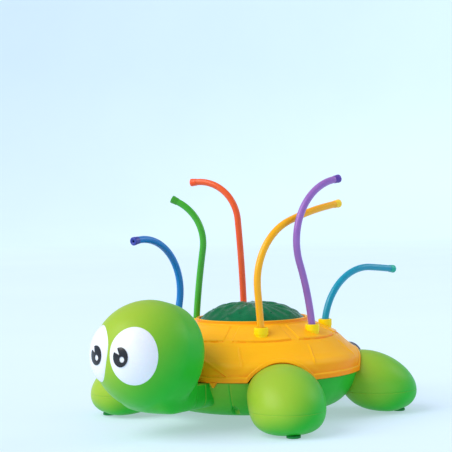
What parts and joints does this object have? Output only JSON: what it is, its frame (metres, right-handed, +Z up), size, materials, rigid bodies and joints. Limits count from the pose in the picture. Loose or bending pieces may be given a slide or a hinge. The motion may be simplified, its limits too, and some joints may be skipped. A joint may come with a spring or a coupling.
{
  "type": "water toy sprinkler",
  "caption": "Turtle-shaped garden water-play sprinkler with a spinning swirl dome, a ring of curved flexible tubes with nozzle tips, and a threaded hose inlet at the tail.",
  "frame": {"origin": "middle of the whole object's footprint, on the ground under the four foot pads", "axes": "+Z up; the turtle's head points along -Y and the hose inlet opens along +Y; +X is the turtle's left side"},
  "size_m": [0.244, 0.3402, 0.2136],
  "materials": {
    "hull_green": "smooth semi-gloss moulded plastic",
    "shell_orange": "smooth moulded plastic",
    "deep_green": "smooth moulded plastic",
    "eye_white": "glossy",
    "pupil_black": "glossy",
    "pad_rubber": "soft matt",
    "collar_yellow": "smooth moulded plastic",
    "tube_yellow": "flexible, satin",
    "tube_purple": "flexible, satin",
    "tube_teal": "flexible, satin",
    "tube_orange": "flexible, satin",
    "tube_green": "flexible, satin",
    "tube_blue": "flexible, satin",
    "tip_yellow": "satin",
    "tip_purple": "satin",
    "tip_teal": "satin",
    "tip_orange": "satin",
    "tip_green": "satin",
    "tip_blue": "satin",
    "dome_green": "clear-tinted, glossy",
    "rotor_green": "smooth moulded plastic",
    "chamber_white": "natural moulded plastic",
    "gasket_rubber": "soft matt",
    "pipe_grey": "moulded plastic",
    "nut_grey": "ribbed moulded plastic",
    "bush_white": "acetal",
    "steel": "stainless"
  },
  "bodies": {
    "root": {"base_hull": "hull_green", "shell": "shell_orange", "neck": "hull_green", "head_shell": "hull_green", "eye_left": "eye_white", "eye_right": "eye_white", "pupil_left": "pupil_black", "pupil_right": "pupil_black", "chamber_lower": "chamber_white", "chamber_gasket": "gasket_rubber", "chamber_upper": "chamber_white", "inlet_pipe": "pipe_grey", "inlet_o_ring": "gasket_rubber", "spindle": "steel", "rotor_seal": "gasket_rubber", "rotor_screw": "steel", "shell_screws": "steel", "foot_screws": "steel", "chamber_screws": "steel", "head_screws": "steel", "foot_upper_front_left": "hull_green", "foot_lower_front_left": "hull_green", "foot_pad_front_left": "pad_rubber", "foot_upper_rear_left": "hull_green", "foot_lower_rear_left": "hull_green", "foot_pad_rear_left": "pad_rubber", "foot_upper_rear_right": "hull_green", "foot_lower_rear_right": "hull_green", "foot_pad_rear_right": "pad_rubber", "foot_upper_front_right": "hull_green", "foot_lower_front_right": "hull_green", "foot_pad_front_right": "pad_rubber", "collar_yellow": "collar_yellow", "collar_purple": "collar_yellow", "collar_teal": "collar_yellow", "collar_orange": "collar_yellow", "collar_green": "collar_yellow", "collar_blue": "collar_yellow"},
    "rotor": {"rotor_dome": "dome_green", "rotor_base": "rotor_green", "rotor_bush": "bush_white"},
    "hose_nut": {"hose_nut": "nut_grey", "hose_washer": "gasket_rubber", "filter_screen": "steel"},
    "tube_yellow": {"tube_yellow": "tube_yellow", "tip_yellow": "tip_yellow"},
    "tube_purple": {"tube_purple": "tube_purple", "tip_purple": "tip_purple"},
    "tube_teal": {"tube_teal": "tube_teal", "tip_teal": "tip_teal"},
    "tube_orange": {"tube_orange": "tube_orange", "tip_orange": "tip_orange"},
    "tube_green": {"tube_green": "tube_green", "tip_green": "tip_green"},
    "tube_blue": {"tube_blue": "tube_blue", "tip_blue": "tip_blue"}
  },
  "joints": [
    {"name": "rotor_spin", "type": "hinge", "parent": "root", "child": "rotor", "pos_m": [0, 0.01287, 0.083], "axis": [0, 0, 1], "continuous": true},
    {"name": "hose_nut_spin", "type": "hinge", "parent": "root", "child": "hose_nut", "pos_m": [0, 0.16287, 0.0336], "axis": [0, 1, 0], "continuous": true},
    {"name": "yellow_tube_sway", "type": "hinge", "parent": "root", "child": "tube_yellow", "pos_m": [0.04695, -0.03408, 0.0795], "axis": [-0.9781, 0.2079, 0], "range_deg": [-15, 15], "stiffness_Nm_per_rad": 0.12},
    {"name": "purple_tube_sway", "type": "hinge", "parent": "root", "child": "tube_purple", "pos_m": [0.0664, 0.01287, 0.0795], "axis": [-0.9781, 0.2079, 0], "range_deg": [-15, 15], "stiffness_Nm_per_rad": 0.12},
    {"name": "teal_tube_sway", "type": "hinge", "parent": "root", "child": "tube_teal", "pos_m": [0.04695, 0.05983, 0.0795], "axis": [-0.9781, 0.2079, 0], "range_deg": [-15, 15], "stiffness_Nm_per_rad": 0.12},
    {"name": "orange_tube_sway", "type": "hinge", "parent": "root", "child": "tube_orange", "pos_m": [-0.04695, 0.05983, 0.0795], "axis": [0.2588, -0.9659, 0], "range_deg": [-15, 15], "stiffness_Nm_per_rad": 0.12},
    {"name": "green_tube_sway", "type": "hinge", "parent": "root", "child": "tube_green", "pos_m": [-0.0664, 0.01287, 0.0795], "axis": [0.5, -0.866, 0], "range_deg": [-15, 15], "stiffness_Nm_per_rad": 0.12},
    {"name": "blue_tube_sway", "type": "hinge", "parent": "root", "child": "tube_blue", "pos_m": [-0.04695, -0.03408, 0.0795], "axis": [1, 0, 0], "range_deg": [-15, 15], "stiffness_Nm_per_rad": 0.12}
  ]
}
